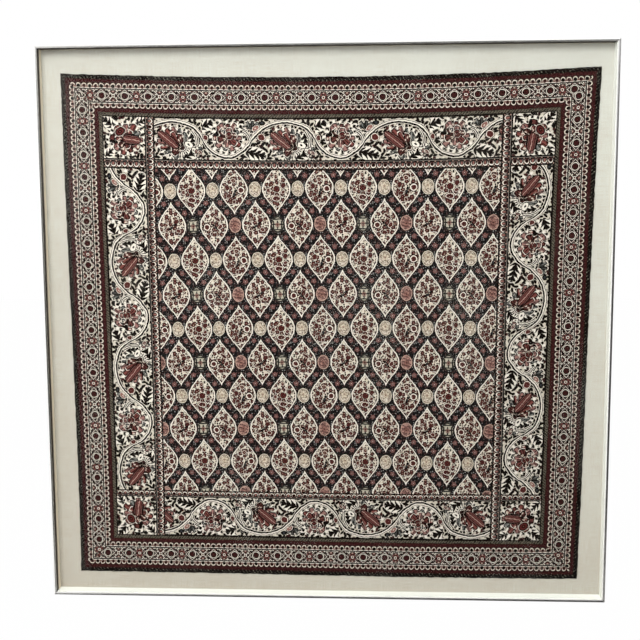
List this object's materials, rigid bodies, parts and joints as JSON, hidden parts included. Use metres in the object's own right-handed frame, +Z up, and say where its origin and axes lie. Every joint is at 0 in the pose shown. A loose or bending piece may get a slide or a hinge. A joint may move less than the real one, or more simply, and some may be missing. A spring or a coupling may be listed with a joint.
{
  "type": "framed painted silk panel",
  "caption": "Square painted silk cloth with flowered borders and a lattice field, float-mounted on linen in a slim glazed metal box frame for a wall.",
  "frame": {"origin": "middle of the flat back of the frame, where it meets the wall", "axes": "+Z up, +X to the viewer's right, +Y into the wall; the cloth looks towards -Y"},
  "size_m": [1.04, 0.038, 1.025],
  "materials": {
    "silk": "printed plain-weave silk, soft low sheen",
    "linen": "cream plain-weave linen drawn over board",
    "board": "brown hardboard",
    "glass": "clear picture glass",
    "aluminium": "satin anodised",
    "spacer": "pale matt strip"
  },
  "bodies": {
    "root": {"silk_panel": "silk", "linen_mount": "linen", "backing_board": "board", "glazing": "glass", "rail_top": "aluminium", "rail_bottom": "aluminium", "rail_left": "aluminium", "rail_right": "aluminium", "spacer_top": "spacer", "spacer_bottom": "spacer", "spacer_left": "spacer", "spacer_right": "spacer"}
  },
  "joints": []
}
